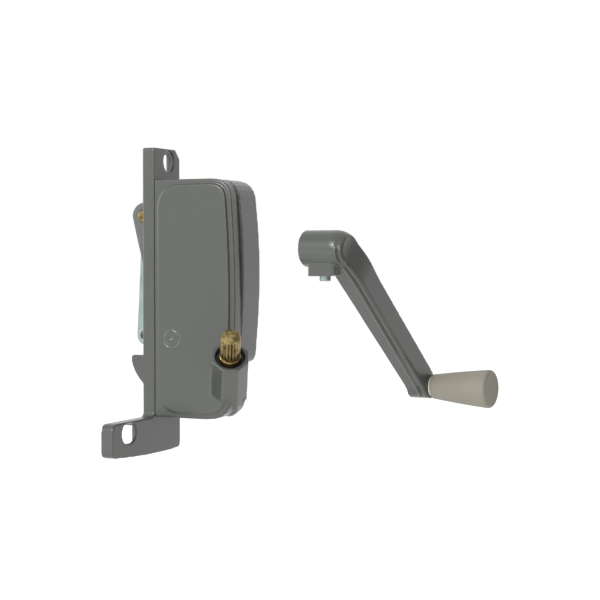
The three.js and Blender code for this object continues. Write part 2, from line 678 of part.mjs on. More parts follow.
function armOutline() {
  const end = -handle.reach;
  const shape = new THREE.Shape();
  shape.moveTo(armStart, 0);
  shape.lineTo(armLow, end + arm.footRadius);
  shape.lineTo(armLow, end);
  shape.lineTo(armFace, end);
  shape.lineTo(armFace, end + arm.footRadius);
  shape.lineTo(hub.length, -arm.heel);
  shape.lineTo(hub.length, 0);
  return shape;
}

// A raised bead that runs down the arm's near side, along its front edge
function makeBead() {
  const length = handle.reach - hubRadius - arm.footRadius;
  const slope = Math.atan2(armFace - hub.length, handle.reach - arm.footRadius);
  const bead = new THREE.BoxGeometry(arm.beadWidth, arm.bead * 2, length);
  bead.translate(0, -arm.width / 2, -handle.reach / 2);
  bead.rotateY(-slope);
  bead.translate(hub.length - arm.beadWidth * 1.2, 0, 0);
  return toSolid(bead);
}

function makeHandle() {
  const half = arm.width / 2;
  let solid = slabY(armOutline(), -half, half);
  const padBox = new THREE.BoxGeometry(pad.end - pad.start, pad.width, padDrop);
  padBox.translate((pad.start + pad.end) / 2, 0, -padDrop / 2);
  padBox.rotateX(rad(-handle.roll));
  solid = solid.add(rodX(arm.footRadius, armLow, armFace, -handle.reach));
  solid = solid.add(rodX(hubRadius, 0, hub.length)).add(toSolid(padBox)).add(makeBead());
  solid = solid.subtract(rodX(hubBore, -fit.overcut, boreDepth));
  solid = solid.subtract(rodX(
    spindle.radius + fit.slide, armStart, armFace + fit.overcut, -handle.reach));
  solid = solid.subtract(rodX(
    spindle.head + fit.slide, armStart, armLow + spindle.seat + fit.slide, -handle.reach));
  const holeLength = padDrop + fit.overcut;
  const screwHole = new THREE.CylinderGeometry(
    setScrew.radius + fit.slide, setScrew.radius + fit.slide, holeLength, 24);
  screwHole.rotateX(Math.PI / 2);
  screwHole.translate(setScrew.at, 0, -holeLength / 2);
  screwHole.rotateX(rad(-handle.roll));
  return toGeometry(solid.subtract(toSolid(screwHole)));
}

function makeSetScrew() {
  const top = hubBore + 2 * fit.slide;
  const bottom = padDrop + setScrew.proud;
  const { radius, socket, bevel, point } = setScrew;
  const geometry = toGeometry(turned([
    [0, setScrew.proud - bottom], [socket, setScrew.proud - bottom], [socket, -bottom],
    [radius - bevel, -bottom], [radius, bevel - bottom],
    [radius, -top - point], [radius - point, -top], [0, -top]], 24));
  geometry.translate(setScrew.at, 0, 0);
  geometry.rotateX(rad(-handle.roll));
  return geometry;
}

function alongX(solid, x, z) {
  const geometry = toGeometry(solid);
  geometry.rotateY(Math.PI / 2);
  geometry.translate(x, 0, z);
  return geometry;
}

const knobStart = armFace + spindle.washer + 2 * fit.slide;

function makeKnob() {
  const end = knob.length;
  const depth = knob.length - knob.endWall;
  const bore = spindle.radius + spindle.collarRim + knob.play;
  const { small, big, edge } = knob;
  return alongX(turned([
    [0, depth], [bore, depth], [bore, 0], [small - edge / 3, 0], [small, edge / 2],
    [big, end - edge], [big - edge / 3, end - edge / 4], [big - edge, end], [0, end]]),
  knobStart, -handle.reach);
}

function makeSpindle() {
  const headAt = armLow + spindle.seat - spindle.headHeight;
  const end = knobStart + knob.length - knob.endWall - spindle.tip - headAt;
  const collar = spindle.radius + spindle.collarRim;
  const collarHigh = end - spindle.nose;
  const collarLow = collarHigh - spindle.collar;
  const neck = spindle.radius - spindle.collarRim;
  return alongX(turned([
    [0, 0], [spindle.head, 0], [spindle.head, spindle.headHeight], [spindle.radius, spindle.headHeight],
    [spindle.radius, collarLow - spindle.groove], [neck, collarLow - spindle.groove], [neck, collarLow],
    [collar, collarLow], [collar, collarHigh], [neck - spindle.tip, end], [0, end]]),
  headAt, -handle.reach);
}

function makeKnobWasher() {
  return alongX(ring(spindle.radius + fit.slide, spindle.washerRadius, 0, spindle.washer),
    armFace + fit.slide, -handle.reach);
}

// Assembly
const paint = { color: 0x6d706a, roughness: 0.45, metalness: 0.1 };
const zinc = { color: 0xa9b4b2, roughness: 0.35, metalness: 0.9 };
const yellowZinc = { color: 0xb2914a, roughness: 0.3, metalness: 0.9 };
const steel = { color: 0x8c8f92, roughness: 0.4, metalness: 0.9 };
const bronze = { color: 0x9a7445, roughness: 0.45, metalness: 0.8 };
const blackRubber = { color: 0x161616, roughness: 0.8, metalness: 0 };
const castZinc = { color: 0x7c7f7c, roughness: 0.5, metalness: 0.7 };
const nylon = { color: 0xd8d6cc, roughness: 0.6, metalness: 0 };
const plastic = { color: 0xa39e8e, roughness: 0.5, metalness: 0 };

function named(name, geometry, finish) {
  const mesh = new THREE.Mesh(geometry, new THREE.MeshStandardMaterial(finish));
  mesh.name = name;
  return mesh;
}

const operator = new THREE.Group();
const { x: gearX, z: gearZ } = gearCentre;
operator.add(named('housing_base', makeBase(), paint));
operator.add(named('housing_cover', makeCover(), paint));
screwPlaces.forEach((place, index) => {
  operator.add(named(`cover_screw_${index + 1}`, makeScrew(place), zinc));
});
operator.add(named('drive_lever', makeLever(), castZinc));
operator.add(named('lever_pivot_pin', makePivotPin(), steel));
operator.add(named('lever_bushing', ringY(pivot.pin + fit.slide, pivot.pin + pivot.bushWall + fit.slide / 2,
  gearX, gearZ, gearNear, gearFar), bronze));
const pivotWasher = (y0, y1) => ringY(
  pivot.pin + fit.slide, pivot.pin + pivot.washerRim, gearX, gearZ, y0 + fit.joint, y1 - fit.joint);
operator.add(named('pivot_washer_near', pivotWasher(nearWasherY, gearNear), nylon));
operator.add(named('pivot_washer_far', pivotWasher(gearFar, farWasherY), nylon));
operator.add(named('link_rivet', makeLinkRivet(), yellowZinc));
operator.add(named('link_washer', ringY(
  rivet.shank + fit.slide, rivet.shank + rivet.washerRim, lever.tipX, tipZ,
  washerY, washerY + rivet.washer, 24), nylon));
operator.add(named('operating_link', makeLink(), zinc));
operator.add(named('link_eyelet', makeEyelet(), steel));

const shaftGroup = new THREE.Group();
shaftGroup.applyMatrix4(studMatrix);
shaftGroup.add(named('worm_shaft', makeWormShaft(), yellowZinc));
shaftGroup.add(named('shaft_bushing', makeBushing(), bronze));
shaftGroup.add(named('shaft_seal', makeSeal(), blackRubber));
shaftGroup.add(named('thrust_washer', makeThrustWasher(), steel));
shaftGroup.add(named('end_bushing', makeEndBushing(), bronze));

const crank = new THREE.Group();
crank.rotation.x = rad(handle.roll);
crank.add(named('crank_handle', makeHandle(), paint));
crank.add(named('set_screw', makeSetScrew(), zinc));
crank.add(named('knob', makeKnob(), plastic));
crank.add(named('knob_spindle', makeSpindle(), steel));
crank.add(named('knob_washer', makeKnobWasher(), nylon));
const crankPlace = new THREE.Group();
crankPlace.position.set(housing.right + handle.gap, face, handle.z);
crankPlace.rotation.z = rad(handle.yaw);
crankPlace.add(crank);

const assembly = new THREE.Group();
assembly.add(operator, shaftGroup, crankPlace);

export default assembly;
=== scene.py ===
import json
import math

import bmesh
import bpy
from mathutils import Matrix, Vector


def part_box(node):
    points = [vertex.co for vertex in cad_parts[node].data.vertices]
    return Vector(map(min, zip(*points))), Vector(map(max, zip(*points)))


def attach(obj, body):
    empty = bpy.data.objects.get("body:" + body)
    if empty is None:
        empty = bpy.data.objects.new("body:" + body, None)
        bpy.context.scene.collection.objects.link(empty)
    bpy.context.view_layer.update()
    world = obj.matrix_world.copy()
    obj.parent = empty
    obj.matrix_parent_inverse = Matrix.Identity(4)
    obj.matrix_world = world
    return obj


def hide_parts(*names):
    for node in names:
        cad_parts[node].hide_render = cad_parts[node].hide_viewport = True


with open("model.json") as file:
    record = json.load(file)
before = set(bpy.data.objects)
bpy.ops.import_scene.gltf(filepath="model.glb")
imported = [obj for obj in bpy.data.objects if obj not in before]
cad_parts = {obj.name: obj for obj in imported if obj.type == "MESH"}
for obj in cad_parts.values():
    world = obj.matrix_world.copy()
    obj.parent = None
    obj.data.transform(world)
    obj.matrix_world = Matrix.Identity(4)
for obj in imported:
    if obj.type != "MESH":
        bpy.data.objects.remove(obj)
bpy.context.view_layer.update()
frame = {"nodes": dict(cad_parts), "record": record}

nodes = frame["nodes"]
mm = 0.001
print("frame loaded:", len(nodes), "nodes")


# Shader maths: a wrapped socket that takes part in Python expressions
class Signal:
    def __init__(self, maker, socket):
        self.maker = maker
        self.socket = socket

    def maths(self, operation, first, second=None):
        return self.maker.node("Math", {"operation": operation}, {0: first, 1: second})

    def __add__(self, other):
        return self.maths("ADD", self, other)

    def __radd__(self, other):
        return self.maths("ADD", other, self)

    def __sub__(self, other):
        return self.maths("SUBTRACT", self, other)

    def __mul__(self, other):
        return self.maths("MULTIPLY", self, other)

    def clamped(self, low=0.0, high=1.0):
        return self.maker.node("Clamp", {}, {0: self, 1: low, 2: high})


def linear(red, green, blue):
    # display values 0-255 to linear light
    def one(value):
        value /= 255
        return value / 12.92 if value <= 0.04045 else ((value + 0.055) / 1.055) ** 2.4
    return (one(red), one(green), one(blue), 1.0)


class Finish:
    # one material and the node tree behind it
    def __init__(self, name):
        self.material = bpy.data.materials.new(name)
        self.material.use_nodes = True
        self.tree = self.material.node_tree
        self.tree.nodes.clear()
        self.place = self.node("TexCoord", output="Object")

    def node(self, kind, settings=None, inputs=None, output=0):
        made = self.tree.nodes.new("ShaderNode" + kind)
        for key, value in (settings or {}).items():
            if key == "stops":
                self.setStops(made.color_ramp, value)
            else:
                setattr(made, key, value)
        for key, value in (inputs or {}).items():
            if value is None:
                continue
            if isinstance(value, Signal):
                self.tree.links.new(value.socket, made.inputs[key])
            else:
                made.inputs[key].default_value = value
        return Signal(self, made.outputs[output])

    def setStops(self, ramp, stops):
        while len(ramp.elements) < len(stops):
            ramp.elements.new(0.5)
        for element, (position, colour) in zip(ramp.elements, stops):
            element.position = position
            element.color = colour

    def noise(self, scale, detail=3.0, roughness=0.5, stretch=(1, 1, 1)):
        spot = self.place
        if stretch != (1, 1, 1):
            spot = self.node("Mapping", {}, {"Vector": self.place, "Scale": stretch})
        return self.node("TexNoise", {}, {
            "Vector": spot, "Scale": scale, "Detail": detail, "Roughness": roughness})

    def mix(self, factor, first, second):
        return self.node("Mix", {"data_type": "RGBA"}, {0: factor, 6: first, 7: second}, output=2)

    def bump(self, height, distance, strength=1.0, onto=None):
        return self.node("Bump", {}, {
            "Height": height, "Distance": distance, "Strength": strength, "Normal": onto})

    def surface(self, **sockets):
        inputs = {key.replace("_", " "): value for key, value in sockets.items()}
        shader = self.node("BsdfPrincipled", {}, inputs)
        out = self.tree.nodes.new("ShaderNodeOutputMaterial")
        self.tree.links.new(shader.socket, out.inputs["Surface"])
        return self.material


# light is the paint lifted for the painted highlight on convex edges
paintLook = {
    "colour": linear(63, 66, 62), "shade": linear(56, 58, 54), "light": linear(84, 87, 83),
    "roughness": 0.34, "coat": 0.35, "grain": 0.00004,
}


def greyEnamel():
    finish = Finish("greyEnamel")
    broad = finish.noise(38, 2.0)
    speck = finish.noise(1500, 2.0)
    peel = finish.noise(620, 3.0, 0.55)
    base = finish.mix(broad, paintLook["shade"], paintLook["colour"])
    # painted highlight: convex edges are mixed towards the light colour, standing in for glints on the
    # rounded edges
    edgeHighlight = finish.node("NewGeometry", {}, {}, output="Pointiness")
    edge = ((edgeHighlight - 0.54) * 4).clamped() * 0.3
    base = finish.mix(edge, base, paintLook["light"])
    height = finish.bump(peel + speck * 0.4, paintLook["grain"], 0.6)
    return finish.surface(
        Base_Color=base, Roughness=paintLook["roughness"] + (speck - 0.5) * 0.12,
        Normal=height, Coat_Weight=paintLook["coat"], Coat_Roughness=0.22)


def castZinc():
    finish = Finish("castZinc")
    broad = finish.noise(90, 3.0)
    grain = finish.noise(2200, 2.0)
    base = finish.mix(broad, linear(70, 73, 70), linear(96, 99, 95))
    return finish.surface(
        Base_Color=base, Metallic=0.55, Roughness=0.42 + grain * 0.18,
        Normal=finish.bump(grain, 0.00004, 0.5))


def zincPlate():
    finish = Finish("zincPlate")
    cloud = finish.noise(120, 3.0)
    lines = finish.noise(900, 2.0, 0.5, (1, 1, 0.06))
    base = finish.mix(cloud, linear(112, 128, 128), linear(150, 162, 160))
    return finish.surface(
        Base_Color=base, Metallic=0.9, Roughness=0.26 + lines * 0.16,
        Normal=finish.bump(lines, 0.00002, 0.4))


def yellowZinc():
    finish = Finish("yellowZinc")
    cloud = finish.noise(260, 3.0, 0.6)
    base = finish.node("ValToRGB", {"stops": [
        (0.25, linear(54, 44, 26)), (0.42, linear(116, 96, 56)), (0.55, linear(146, 132, 92)),
        (0.66, linear(124, 97, 62)), (0.8, linear(98, 98, 68))]}, {0: cloud})
    grain = finish.noise(2600, 2.0)
    return finish.surface(
        Base_Color=base, Metallic=0.92, Roughness=0.22 + grain * 0.14,
        Normal=finish.bump(grain, 0.00002, 0.4))


def plainSteel():
    finish = Finish("plainSteel")
    cloud = finish.noise(300, 3.0)
    base = finish.mix(cloud, linear(128, 130, 132), linear(168, 169, 170))
    return finish.surface(Base_Color=base, Metallic=0.95, Roughness=0.25 + cloud * 0.2)


def sinteredBronze():
    finish = Finish("sinteredBronze")
    pores = finish.noise(3000, 3.0)
    base = finish.mix(pores, linear(112, 78, 40), linear(164, 122, 70))
    return finish.surface(
        Base_Color=base, Metallic=0.8, Roughness=0.45, Normal=finish.bump(pores, 0.00004, 0.6))


def blackRubber():
    finish = Finish("blackRubber")
    grain = finish.noise(1800, 2.0)
    base = finish.mix(grain, linear(14, 14, 14), linear(28, 28, 27))
    return finish.surface(
        Base_Color=base, Roughness=0.7, Normal=finish.bump(grain, 0.00005, 0.5))


def naturalNylon():
    finish = Finish("naturalNylon")
    cloud = finish.noise(400, 2.0)
    base = finish.mix(cloud, linear(204, 200, 186), linear(222, 219, 208))
    return finish.surface(Base_Color=base, Roughness=0.5)


def knobPlastic():
    finish = Finish("knobPlastic")
    cloud = finish.noise(70, 3.0)
    grain = finish.noise(1900, 3.0, 0.6)
    base = finish.mix(cloud, linear(116, 112, 100), linear(126, 122, 110))
    return finish.surface(
        Base_Color=base, Roughness=0.5 + grain * 0.12, Normal=finish.bump(grain, 0.00006, 0.5))


finishes = {
    "grey_paint": greyEnamel(), "cast_zinc": castZinc(), "zinc_plate": zincPlate(),
    "yellow_zinc": yellowZinc(), "plain_steel": plainSteel(), "bronze": sinteredBronze(),
    "black_rubber": blackRubber(), "nylon": naturalNylon(), "knob_plastic": knobPlastic(),
}
slotOf = {entry["node"]: entry["material_slot"] for entry in frame["record"]["subparts"]}
bodyOf = {node: body for body, group in frame["record"]["behaviour"]["bodies"].items() for node in group}
for name, node in nodes.items():
    node.data.materials.clear()
    node.data.materials.append(finishes[slotOf[name]])
print("finishes made:", len(finishes))


def finishPiece(piece, node, extraNodes=()):
    # hands a finished piece to the frame in place of its CAD node
    piece.data.materials.clear()
    piece.data.materials.append(finishes[slotOf[node]])
    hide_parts(node, *extraNodes)
    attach(piece, bodyOf[node])
    return piece


def newPiece(name, mesh):
    piece = bpy.data.objects.new(name, mesh)
    bpy.context.scene.collection.objects.link(piece)
    return piece


def copyOf(node, name):
    # a merged copy of a CAD node's mesh
    mesh = nodes[node].data.copy()
    mesh.name = name
    made = bmesh.new()
    made.from_mesh(mesh)
    bmesh.ops.remove_doubles(made, verts=made.verts, dist=0.000001)
    made.to_mesh(mesh)
    made.free()
    return newPiece(name, mesh)


def settle(piece):
    # turns the modifiers into plain mesh
    bpy.context.view_layer.update()
    shape = bpy.data.meshes.new_from_object(piece.evaluated_get(bpy.context.evaluated_depsgraph_get()))
    piece.modifiers.clear()
    piece.data = shape
    return piece


def joinClosed(piece, extras):
    # puts extra closed shapes into a piece, so that the next skin takes them in as one body
    made = bmesh.new()
    made.from_mesh(piece.data)
    for extra in extras:
        made.from_mesh(extra)
        bpy.data.meshes.remove(extra)
    made.to_mesh(piece.data)
    made.free()


def tube(points, radius, sides=10):
    # a capped round bar along points given in mm
    curve = bpy.data.curves.new("bar", "CURVE")
    curve.dimensions = "3D"
    curve.bevel_depth = radius * mm
    curve.bevel_resolution = (sides - 4) // 2
    curve.use_fill_caps = True
    line = curve.splines.new("POLY")
    line.points.add(len(points) - 1)
    for spot, place in zip(line.points, points):
        spot.co = (*(Vector(place) * mm), 1)
    holder = newPiece("bar", curve)
    bpy.context.view_layer.update()
    mesh = bpy.data.meshes.new_from_object(holder.evaluated_get(bpy.context.evaluated_depsgraph_get()))
    bpy.data.objects.remove(holder)
    bpy.data.curves.remove(curve)
    return mesh


def loft(sections):
    # closed skin through rings of points, each given in mm in the same order
    made = bmesh.new()
    rings = [[made.verts.new(Vector(place) * mm) for place in section] for section in sections]
    for lower, upper in zip(rings, rings[1:]):
        for index in range(len(lower)):
            after = (index + 1) % len(lower)
            made.faces.new((lower[index], lower[after], upper[after], upper[index]))
    made.faces.new(rings[0][::-1])
    made.faces.new(rings[-1])
    bmesh.ops.recalc_face_normals(made, faces=made.faces)
    mesh = bpy.data.meshes.new("loft")
    made.to_mesh(mesh)
    made.free()
    return mesh


def softenCasting(node, look):
    # rounds a casting's edges and inner corners, as a die and its paint do
    piece = copyOf(node, look["name"])
    joinClosed(piece, look["extras"]())
    remesh = piece.modifiers.new("skin", "REMESH")
    remesh.mode = "VOXEL"
    remesh.voxel_size = look["voxel"]
    smooth = piece.modifiers.new("round", "SMOOTH")
    smooth.iterations = look["rounds"]
    smooth.factor = 0.5
    settle(piece)
    look["shape"](piece)
    thin = piece.modifiers.new("thin", "DECIMATE")
    thin.ratio = look["keep"]
    settle(piece)
    for polygon in piece.data.polygons:
        polygon.use_smooth = True
    return finishPiece(piece, node)


def smoothStep(value, low, high):
    share = min(max((value - low) / (high - low), 0.0), 1.0)
    return share * share * (3 - 2 * share)


def blendSpots(piece, weigh, rounds):
    # smooths only where weigh(place in mm) is above zero
    group = piece.vertex_groups.new(name="blend")
    for vertex in piece.data.vertices:
        weight = weigh(vertex.co / mm)
        if weight > 0.01:
            group.add([vertex.index], min(weight, 1.0), "REPLACE")
    smooth = piece.modifiers.new("blend", "SMOOTH")
    smooth.iterations = rounds
    smooth.factor = 0.5
    smooth.vertex_group = "blend"
    settle(piece)
    piece.vertex_groups.clear()


low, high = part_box("housing_cover")
coverBox = {"left": low[0] / mm, "face": -12.7, "seam": 1.0, "pull": 0.45}
studAxis = Vector((0.359075, -0.639863, 0.679441))
studRoot = Vector((47.0, -12.7, 27.0))


def awayFromStud(place):
    along = (place - studRoot).dot(studAxis)
    return (place - studRoot - studAxis * along).length


def shapeCover(piece):
    # the cover closes tight on the plate, and the boss flows out of it in a wide fillet
    for vertex in piece.data.vertices:
        place = vertex.co / mm
        seam = coverBox["left"] + coverBox["seam"]
        if place.x < seam:
            vertex.co.x -= coverBox["pull"] * mm * (seam - place.x)

    def weigh(place):
        radius = awayFromStud(place)
        if place.y > -9 or radius < 8.0:
            return 0
        nearFoot = 1 - smoothStep(abs(place.y - coverBox["face"]), 1.2, 3.4)
        return nearFoot * (1 - smoothStep(radius, 12.5, 16))
    blendSpots(piece, weigh, 26)


baseCorner = {"x": 33.2, "z": 14.6, "radius": 9.2}
low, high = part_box("end_bushing")
bushPlace = (Vector(low) + Vector(high)) / 2 / mm
shaftSkin = {"bush": 5.7, "worm": 7.6, "length": 34}
bossStep = {"place": Vector((40.5, -2, 31)), "inner": 8, "outer": 14, "rounds": 12}


def shaftWall(place):
    # nearest point on the shaft's hidden part, and how far out its wall has to stay there
    along = min(max((place - bushPlace).dot(studAxis), 0), shaftSkin["length"])
    step = smoothStep(along, 2, 6)
    return bushPlace + studAxis * along, shaftSkin["bush"] + (shaftSkin["worm"] - shaftSkin["bush"]) * step


def shapeBase(piece):
    # the lower right corner is a wide arc that keeps shaft and bushing covered
    for vertex in piece.data.vertices:
        place = vertex.co / mm
        across, down = place.x - baseCorner["x"], baseCorner["z"] - place.z
        reach = math.hypot(across, down)
        if across <= 0 or down <= 0 or reach <= baseCorner["radius"]:
            continue
        share = baseCorner["radius"] / reach
        goal = Vector((baseCorner["x"] + across * share, place.y, baseCorner["z"] - down * share))
        own = (place - shaftWall(place)[0]).length
        nearest, wall = shaftWall(goal)
        if (goal - nearest).length < min(own, wall):
            goal = nearest + (goal - nearest).normalized() * min(own, wall)
        vertex.co = goal * mm

    def weigh(place):
        # the step round the boss is soft
        return 1 - smoothStep((place - bossStep["place"]).length, bossStep["inner"], bossStep["outer"])
    blendSpots(piece, weigh, bossStep["rounds"])


# where the hub sits and how it is turned, then the handle's own sizes: mm and degrees, squeeze a share
crank = {"place": (86.6, -12.7, 85.4), "yaw": -6.0, "roll": 44.0, "reach": 91.2, "length": 25.0,
         "hub": 8.3, "half": 5.3, "topHalf": 7.1, "front": 31.8, "back": 12.0, "foot": 5.8,
         "slant": 9.2, "lean": 2.8, "elbow": 2.4, "bend": 10, "squeeze": 0.48}
toWorld = (Matrix.Translation(crank["place"]) @ Matrix.Rotation(math.radians(crank["yaw"]), 4, "Z")
           @ Matrix.Rotation(math.radians(crank["roll"]), 4, "X"))
toHandle = toWorld.inverted()


def armShare(drop):
    # 0 at the hub's axis, 1 where the foot begins
    return min(max(drop, 0) / (crank["reach"] - crank["foot"]), 1)


def armHalf(drop):
    return crank["topHalf"] + (crank["half"] - crank["topHalf"]) * armShare(drop)


def armFront(drop):
    return crank["length"] + (crank["front"] - crank["length"]) * armShare(drop)


def armBack(drop):
    return crank["back"] + crank["slant"] * armShare(drop)


def armFlare():
    sections = []
    for step in range(25):
        drop = (crank["reach"] - crank["foot"]) * step / 24
        half, front, back = armHalf(drop), armFront(drop), armBack(drop)
        farHalf = crank["half"] + crank["elbow"] * (1 - smoothStep(drop, 2, 26))
        corners = [(back, -half), (front, -half), (front, farHalf), (back, farHalf)]
        sections.append([toWorld @ Vector((x, y, -drop)) for x, y in corners])
    return loft(sections)


beadLook = {"radius": 0.9, "out": 0.3, "setBacks": (4.3, 1.2), "from": 95, "sweep": 85, "sink": 1.8,
            "hubSteps": 12, "armSteps": 24}


def armBead(setBack):
    # one raised line: round the hub near its closed end, then down the arm's near edge
    look = beadLook
    path = []
    for step in range(look["hubSteps"] + 1):
        angle = math.radians(look["from"] + look["sweep"] * step / look["hubSteps"])
        reach = crank["hub"] + look["out"] - look["sink"] * (1 - step / look["hubSteps"]) ** 2
        path.append((crank["length"] - setBack, reach * math.cos(angle), reach * math.sin(angle)))
    for step in range(1, look["armSteps"] + 1):
        drop = (crank["reach"] + 1) * step / look["armSteps"]
        path.append((armFront(drop) - setBack, -armHalf(drop) - look["out"], -drop))
    return tube([toWorld @ Vector(place) for place in path], look["radius"])


def padWeb():
    # runs the set screw's pad out into the arm's near face
    turn = Matrix.Rotation(math.radians(-crank["roll"]), 4, "X")
    sections = []
    for along, side, drop in ((14.3, -5.0, 12.4), (16.5, -4.4, 12.0), (19.5, -1.5, 8.0)):
        corners = [(side, 0), (5.0, 0), (5.0, -drop), (side, -drop)]
        sections.append([toWorld @ turn @ Vector((along, y, z)) for y, z in corners])
    return loft(sections)


def armExtras():
    return [padWeb(), armFlare(), *(armBead(setBack) for setBack in beadLook["setBacks"])]


def shapeArm(piece):
    # the hub's closed end rounds over and leans back, so that hub and arm meet in an elbow
    length, bend = crank["length"], crank["bend"]
    for vertex in piece.data.vertices:
        place = toHandle @ (vertex.co / mm)
        if place.x <= length - bend:
            continue
        share = min((place.x - length + bend) / bend, 1)
        squeeze = math.sqrt(1 - crank["squeeze"] * share ** 2.2)
        if place.y > 0:
            keep = armShare(-place.z)
        else:
            keep = max(smoothStep(-place.z, 0, 3.5), 0.5)
        place.x -= crank["lean"] * share * smoothStep(place.z, -16, 6)
        if place.z > 0:
            place.z *= squeeze
        place.y *= squeeze + (1 - squeeze) * keep
        vertex.co = (toWorld @ place) * mm


def noExtras():
    return []


castings = {
    "housing_base": {"name": "castBase", "voxel": 0.42 * mm, "rounds": 5, "keep": 0.4,
                     "extras": noExtras, "shape": shapeBase},
    "housing_cover": {"name": "castCover", "voxel": 0.36 * mm, "rounds": 5, "keep": 0.4,
                      "extras": noExtras, "shape": shapeCover},
    "crank_handle": {"name": "crankArm", "voxel": 0.28 * mm, "rounds": 3, "keep": 0.45,
                     "extras": armExtras, "shape": shapeArm},
}
for node, look in castings.items():
    piece = softenCasting(node, look)
    print("casting softened:", look["name"], len(piece.data.polygons))


def refine(node, look):
    # a turned or pressed piece with its edges broken
    piece = copyOf(node, look["name"])
    bevel = piece.modifiers.new("edges", "BEVEL")
    bevel.width = look["edge"] * mm
    bevel.segments = look["steps"]
    bevel.limit_method = "ANGLE"
    bevel.angle_limit = math.radians(32)
    bevel.harden_normals = False
    settle(piece)
    piece.data.shade_smooth()
    piece.data.set_sharp_from_angle(angle=math.radians(38))
    return finishPiece(piece, node)


refined = {
    "drive_lever": {"name": "castLever", "edge": 0.5, "steps": 3},
    "operating_link": {"name": "platedLink", "edge": 0.35, "steps": 3},
    "link_rivet": {"name": "linkRivet", "edge": 0.3, "steps": 3},
    "link_eyelet": {"name": "linkEyelet", "edge": 0.2, "steps": 3},
    "set_screw": {"name": "socketScrew", "edge": 0.15, "steps": 2},
    "knob_spindle": {"name": "spindle", "edge": 0.2, "steps": 2},
    "shaft_seal": {"name": "shaftSeal", "edge": 0.2, "steps": 2},
    "knob_washer": {"name": "knobWasher", "edge": 0.15, "steps": 2},
    "link_washer": {"name": "linkWasher", "edge": 0.12, "steps": 2},
}
for node, look in refined.items():
    refine(node, look)
print("edges broken on", len(refined), "pieces")


def lathe(profile, sides, place):
    # closed turned shape: profile holds (radius, along) in mm and starts and ends on the axis
    made = bmesh.new()
    rings = []
    for radius, along in profile:
        if radius < 1e-6:
            rings.append([made.verts.new(place @ Vector((along, 0, 0)) * mm)])
            continue
        rings.append([made.verts.new(place @ Vector((
            along, radius * math.cos(2 * math.pi * step / sides),
            radius * math.sin(2 * math.pi * step / sides))) * mm) for step in range(sides)])
    for lower, upper in zip(rings, rings[1:]):
        for index in range(sides):
            after = (index + 1) % sides
            if len(lower) == 1:
                made.faces.new((lower[0], upper[after], upper[index]))
            elif len(upper) == 1:
                made.faces.new((lower[index], lower[after], upper[0]))
            else:
                made.faces.new((lower[index], lower[after], upper[after], upper[index]))
    bmesh.ops.recalc_face_normals(made, faces=made.faces)
    mesh = bpy.data.meshes.new("turned")
    made.to_mesh(mesh)
    made.free()
    return mesh


screwLook = {"head": 2.86, "headHeight": 1.36, "shank": 1.46, "reach": 17.2, "slot": 0.8, "slotLength": 4.0,
             "slotDepth": 0.8}


class Group:
    # a geometry node tree built in code, with named inputs
    def __init__(self, name, inputs):
        self.tree = bpy.data.node_groups.new(name, "GeometryNodeTree")
        self.tree.is_modifier = True
        self.named = {}
        for label, kind in inputs:
            self.named[label] = self.tree.interface.new_socket(label, in_out="INPUT", socket_type=kind)
        self.tree.interface.new_socket("Geometry", in_out="OUTPUT", socket_type="NodeSocketGeometry")
        self.start = self.tree.nodes.new("NodeGroupInput")
        self.end = self.tree.nodes.new("NodeGroupOutput")

    def given(self, label):
        return self.start.outputs[label]

    def node(self, kind, settings=None, inputs=None, output=0):
        made = self.tree.nodes.new(kind)
        for key, value in (settings or {}).items():
            setattr(made, key, value)
        for key, value in (inputs or {}).items():
            for each in value if isinstance(value, list) else [value]:
                if isinstance(each, bpy.types.NodeSocket):
                    self.tree.links.new(each, made.inputs[key])
                else:
                    made.inputs[key].default_value = each
        return made.outputs[output]

    def maths(self, operation, first, second):
        return self.node("ShaderNodeMath", {"operation": operation}, {0: first, 1: second})

    def vector(self, x=0.0, y=0.0, z=0.0):
        return self.node("ShaderNodeCombineXYZ", {}, {0: x, 1: y, 2: z})

    def moved(self, geometry, place):
        return self.node("GeometryNodeTransform", {}, {"Geometry": geometry, "Translation": place})


